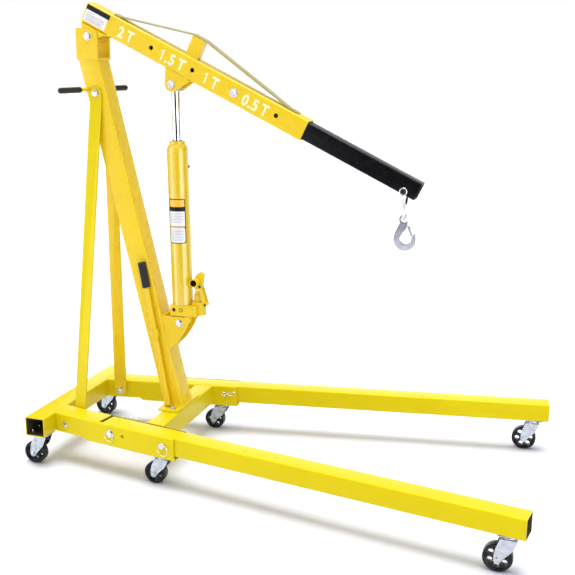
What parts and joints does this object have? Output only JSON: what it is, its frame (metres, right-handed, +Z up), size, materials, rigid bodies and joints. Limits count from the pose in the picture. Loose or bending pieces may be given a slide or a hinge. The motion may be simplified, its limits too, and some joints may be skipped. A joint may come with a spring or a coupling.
{
  "type": "engine hoist crane",
  "caption": "Wheeled folding engine hoist with splayed legs, braced mast, long-ram hydraulic jack, boom with sliding extension, and a shackled safety hook.",
  "frame": {"origin": "middle of the overall box, on the floor under the wheels", "axes": "+X forward from the mast to the leg tips, +Y to the crane's left, +Z up"},
  "size_m": [1.7312, 0.9718, 1.5566],
  "materials": {
    "crane_yellow": "gloss",
    "boom_black": "satin",
    "zinc": "satin",
    "chrome": "polished",
    "wheel_black": "satin",
    "grip_black": "matte"
  },
  "bodies": {
    "frame": {"rear_cross_tube": "crane_yellow", "front_cross_beam": "crane_yellow", "side_channel_left": "crane_yellow", "side_channel_right": "crane_yellow", "mast_foot_plate": "crane_yellow", "mast_tube": "crane_yellow", "mast_head": "crane_yellow", "ram_lower_bracket": "crane_yellow", "ram_foot_bolt": "zinc", "brace_left": "crane_yellow", "brace_right": "crane_yellow", "brace_top_bolt": "zinc", "brace_foot_bolt_left": "zinc", "brace_foot_bolt_right": "zinc", "leg_pivot_bolt_left": "zinc", "leg_pivot_bolt_right": "zinc", "boom_pivot_bolt": "zinc", "push_handle_bar": "crane_yellow", "push_grip_left": "grip_black", "push_grip_right": "grip_black", "rear_caster_left_plate": "zinc", "rear_caster_right_plate": "zinc", "mid_caster_left_plate": "zinc", "mid_caster_right_plate": "zinc"},
    "boom": {"boom_tube": "crane_yellow", "boom_pivot_lug": "crane_yellow", "boom_ram_bracket": "crane_yellow", "truss_post": "crane_yellow", "truss_strap": "crane_yellow", "ram_top_bolt": "zinc"},
    "ram_body": {"ram_base_block": "crane_yellow", "ram_cylinder": "crane_yellow"},
    "ram_rod": {"ram_rod": "chrome"},
    "extension": {"boom_extension": "boom_black", "shackle_pin": "zinc"},
    "extension_bolt": {"extension_bolt": "zinc"},
    "shackle": {"shackle": "zinc"},
    "hook": {"hook": "zinc"},
    "hook_latch": {"hook_latch": "zinc"},
    "pump_rocker": {"pump_rocker": "crane_yellow"},
    "pump_piston": {"pump_piston": "crane_yellow"},
    "pump_handle": {"pump_handle": "crane_yellow"},
    "leg_left": {"leg_left": "crane_yellow", "front_caster_left_plate": "zinc"},
    "lock_pin_left": {"lock_pin_left": "zinc"},
    "leg_right": {"leg_right": "crane_yellow", "front_caster_right_plate": "zinc"},
    "lock_pin_right": {"lock_pin_right": "zinc"},
    "rear_fork_left": {"rear_caster_left_fork": "zinc"},
    "rear_wheel_left": {"rear_caster_left_wheel": "wheel_black"},
    "rear_fork_right": {"rear_caster_right_fork": "zinc"},
    "rear_wheel_right": {"rear_caster_right_wheel": "wheel_black"},
    "mid_fork_left": {"mid_caster_left_fork": "zinc"},
    "mid_wheel_left": {"mid_caster_left_wheel": "wheel_black"},
    "mid_fork_right": {"mid_caster_right_fork": "zinc"},
    "mid_wheel_right": {"mid_caster_right_wheel": "wheel_black"},
    "front_fork_left": {"front_caster_left_fork": "zinc"},
    "front_wheel_left": {"front_caster_left_wheel": "wheel_black"},
    "front_fork_right": {"front_caster_right_fork": "zinc"},
    "front_wheel_right": {"front_caster_right_wheel": "wheel_black"}
  },
  "joints": [
    {"name": "boom_lift", "type": "hinge", "parent": "frame", "child": "boom", "pos_m": [-0.67365, 0, 1.4475], "axis": [0, -1, 0], "range_deg": [-10, 40]},
    {"name": "ram_tilt", "type": "hinge", "parent": "frame", "child": "ram_body", "pos_m": [-0.36625, 0, 0.4925], "axis": [0, -1, 0], "range_deg": [-5, 5]},
    {"name": "ram_stroke", "type": "slide", "parent": "ram_body", "child": "ram_rod", "axis": [-0.0172, 0, 0.9999], "range_m": [-0.07, 0.25]},
    {"name": "extension_slide", "type": "slide", "parent": "boom", "child": "extension", "axis": [0.9011, 0, -0.4337], "range_m": [-0.318, 0.158]},
    {"name": "extension_bolt_pull", "type": "slide", "parent": "boom", "child": "extension_bolt", "axis": [0, -1, 0], "range_m": [0, 0.03]},
    {"name": "shackle_swing", "type": "hinge", "parent": "extension", "child": "shackle", "pos_m": [0.39678, 0, 0.98451], "axis": [0, -1, 0], "range_deg": [-65, 18]},
    {"name": "hook_swing", "type": "hinge", "parent": "shackle", "child": "hook", "pos_m": [0.39678, 0, 0.89601], "axis": [0, -1, 0], "range_deg": [-60, 60]},
    {"name": "latch_open", "type": "hinge", "parent": "hook", "child": "hook_latch", "pos_m": [0.41198, 0, 0.86951], "axis": [0, 1, 0], "range_deg": [0, 32], "stiffness_Nm_per_rad": 0.05},
    {"name": "pump_stroke", "type": "hinge", "parent": "ram_body", "child": "pump_rocker", "pos_m": [-0.29894, 0, 0.62068], "axis": [0, -1, 0], "range_deg": [-20, 20]},
    {"name": "piston_slide", "type": "slide", "parent": "ram_body", "child": "pump_piston", "axis": [-0.0172, 0, 0.9999], "range_m": [-0.006, 0.006]},
    {"name": "pump_handle_draw", "type": "slide", "parent": "frame", "child": "pump_handle", "axis": [-0.1693, 0, 0.9856], "range_m": [0, 0.25]},
    {"name": "leg_fold_left", "type": "hinge", "parent": "frame", "child": "leg_left", "pos_m": [-0.51825, 0.22319, 0.151], "axis": [0.165, -0.9863, 0], "range_deg": [0, 90]},
    {"name": "lock_pin_pull_left", "type": "slide", "parent": "frame", "child": "lock_pin_left", "axis": [-0.165, 0.9863, 0], "range_m": [0, 0.11]},
    {"name": "leg_fold_right", "type": "hinge", "parent": "frame", "child": "leg_right", "pos_m": [-0.51825, -0.22319, 0.151], "axis": [-0.165, -0.9863, 0], "range_deg": [0, 90]},
    {"name": "lock_pin_pull_right", "type": "slide", "parent": "frame", "child": "lock_pin_right", "axis": [-0.165, -0.9863, 0], "range_m": [0, 0.11]},
    {"name": "rear_swivel_left", "type": "hinge", "parent": "frame", "child": "rear_fork_left", "pos_m": [-0.79565, 0.247, 0.1119], "axis": [0, 0, 1], "continuous": true},
    {"name": "rear_wheel_spin_left", "type": "hinge", "parent": "rear_fork_left", "child": "rear_wheel_left", "pos_m": [-0.82565, 0.247, 0.04], "axis": [0, 1, 0], "continuous": true},
    {"name": "rear_swivel_right", "type": "hinge", "parent": "frame", "child": "rear_fork_right", "pos_m": [-0.79565, -0.247, 0.1119], "axis": [0, 0, 1], "continuous": true},
    {"name": "rear_wheel_spin_right", "type": "hinge", "parent": "rear_fork_right", "child": "rear_wheel_right", "pos_m": [-0.82565, -0.247, 0.04], "axis": [0, 1, 0], "continuous": true},
    {"name": "mid_swivel_left", "type": "hinge", "parent": "frame", "child": "mid_fork_left", "pos_m": [-0.32868, 0.25492, 0.1009], "axis": [0, 0, 1], "continuous": true},
    {"name": "mid_wheel_spin_left", "type": "hinge", "parent": "mid_fork_left", "child": "mid_wheel_left", "pos_m": [-0.35868, 0.25492, 0.0375], "axis": [0, 1, 0], "continuous": true},
    {"name": "mid_swivel_right", "type": "hinge", "parent": "frame", "child": "mid_fork_right", "pos_m": [-0.32868, -0.25492, 0.1009], "axis": [0, 0, 1], "continuous": true},
    {"name": "mid_wheel_spin_right", "type": "hinge", "parent": "mid_fork_right", "child": "mid_wheel_right", "pos_m": [-0.35868, -0.25492, 0.0375], "axis": [0, 1, 0], "continuous": true},
    {"name": "front_swivel_left", "type": "hinge", "parent": "leg_left", "child": "front_fork_left", "pos_m": [0.81146, 0.44571, 0.1149], "axis": [0, 0, 1], "continuous": true},
    {"name": "front_wheel_spin_left", "type": "hinge", "parent": "front_fork_left", "child": "front_wheel_left", "pos_m": [0.78146, 0.44571, 0.0425], "axis": [0, 1, 0], "continuous": true},
    {"name": "front_swivel_right", "type": "hinge", "parent": "leg_right", "child": "front_fork_right", "pos_m": [0.81146, -0.44571, 0.1149], "axis": [0, 0, 1], "continuous": true},
    {"name": "front_wheel_spin_right", "type": "hinge", "parent": "front_fork_right", "child": "front_wheel_right", "pos_m": [0.78146, -0.44571, 0.0425], "axis": [0, 1, 0], "continuous": true}
  ],
  "couplings": [
    {"joint": "ram_tilt", "follows": "boom_lift", "ratio": -0.075},
    {"joint": "ram_stroke", "follows": "boom_lift", "m_per_rad": 0.31},
    {"joint": "piston_slide", "follows": "pump_stroke", "m_per_rad": -0.0145}
  ]
}
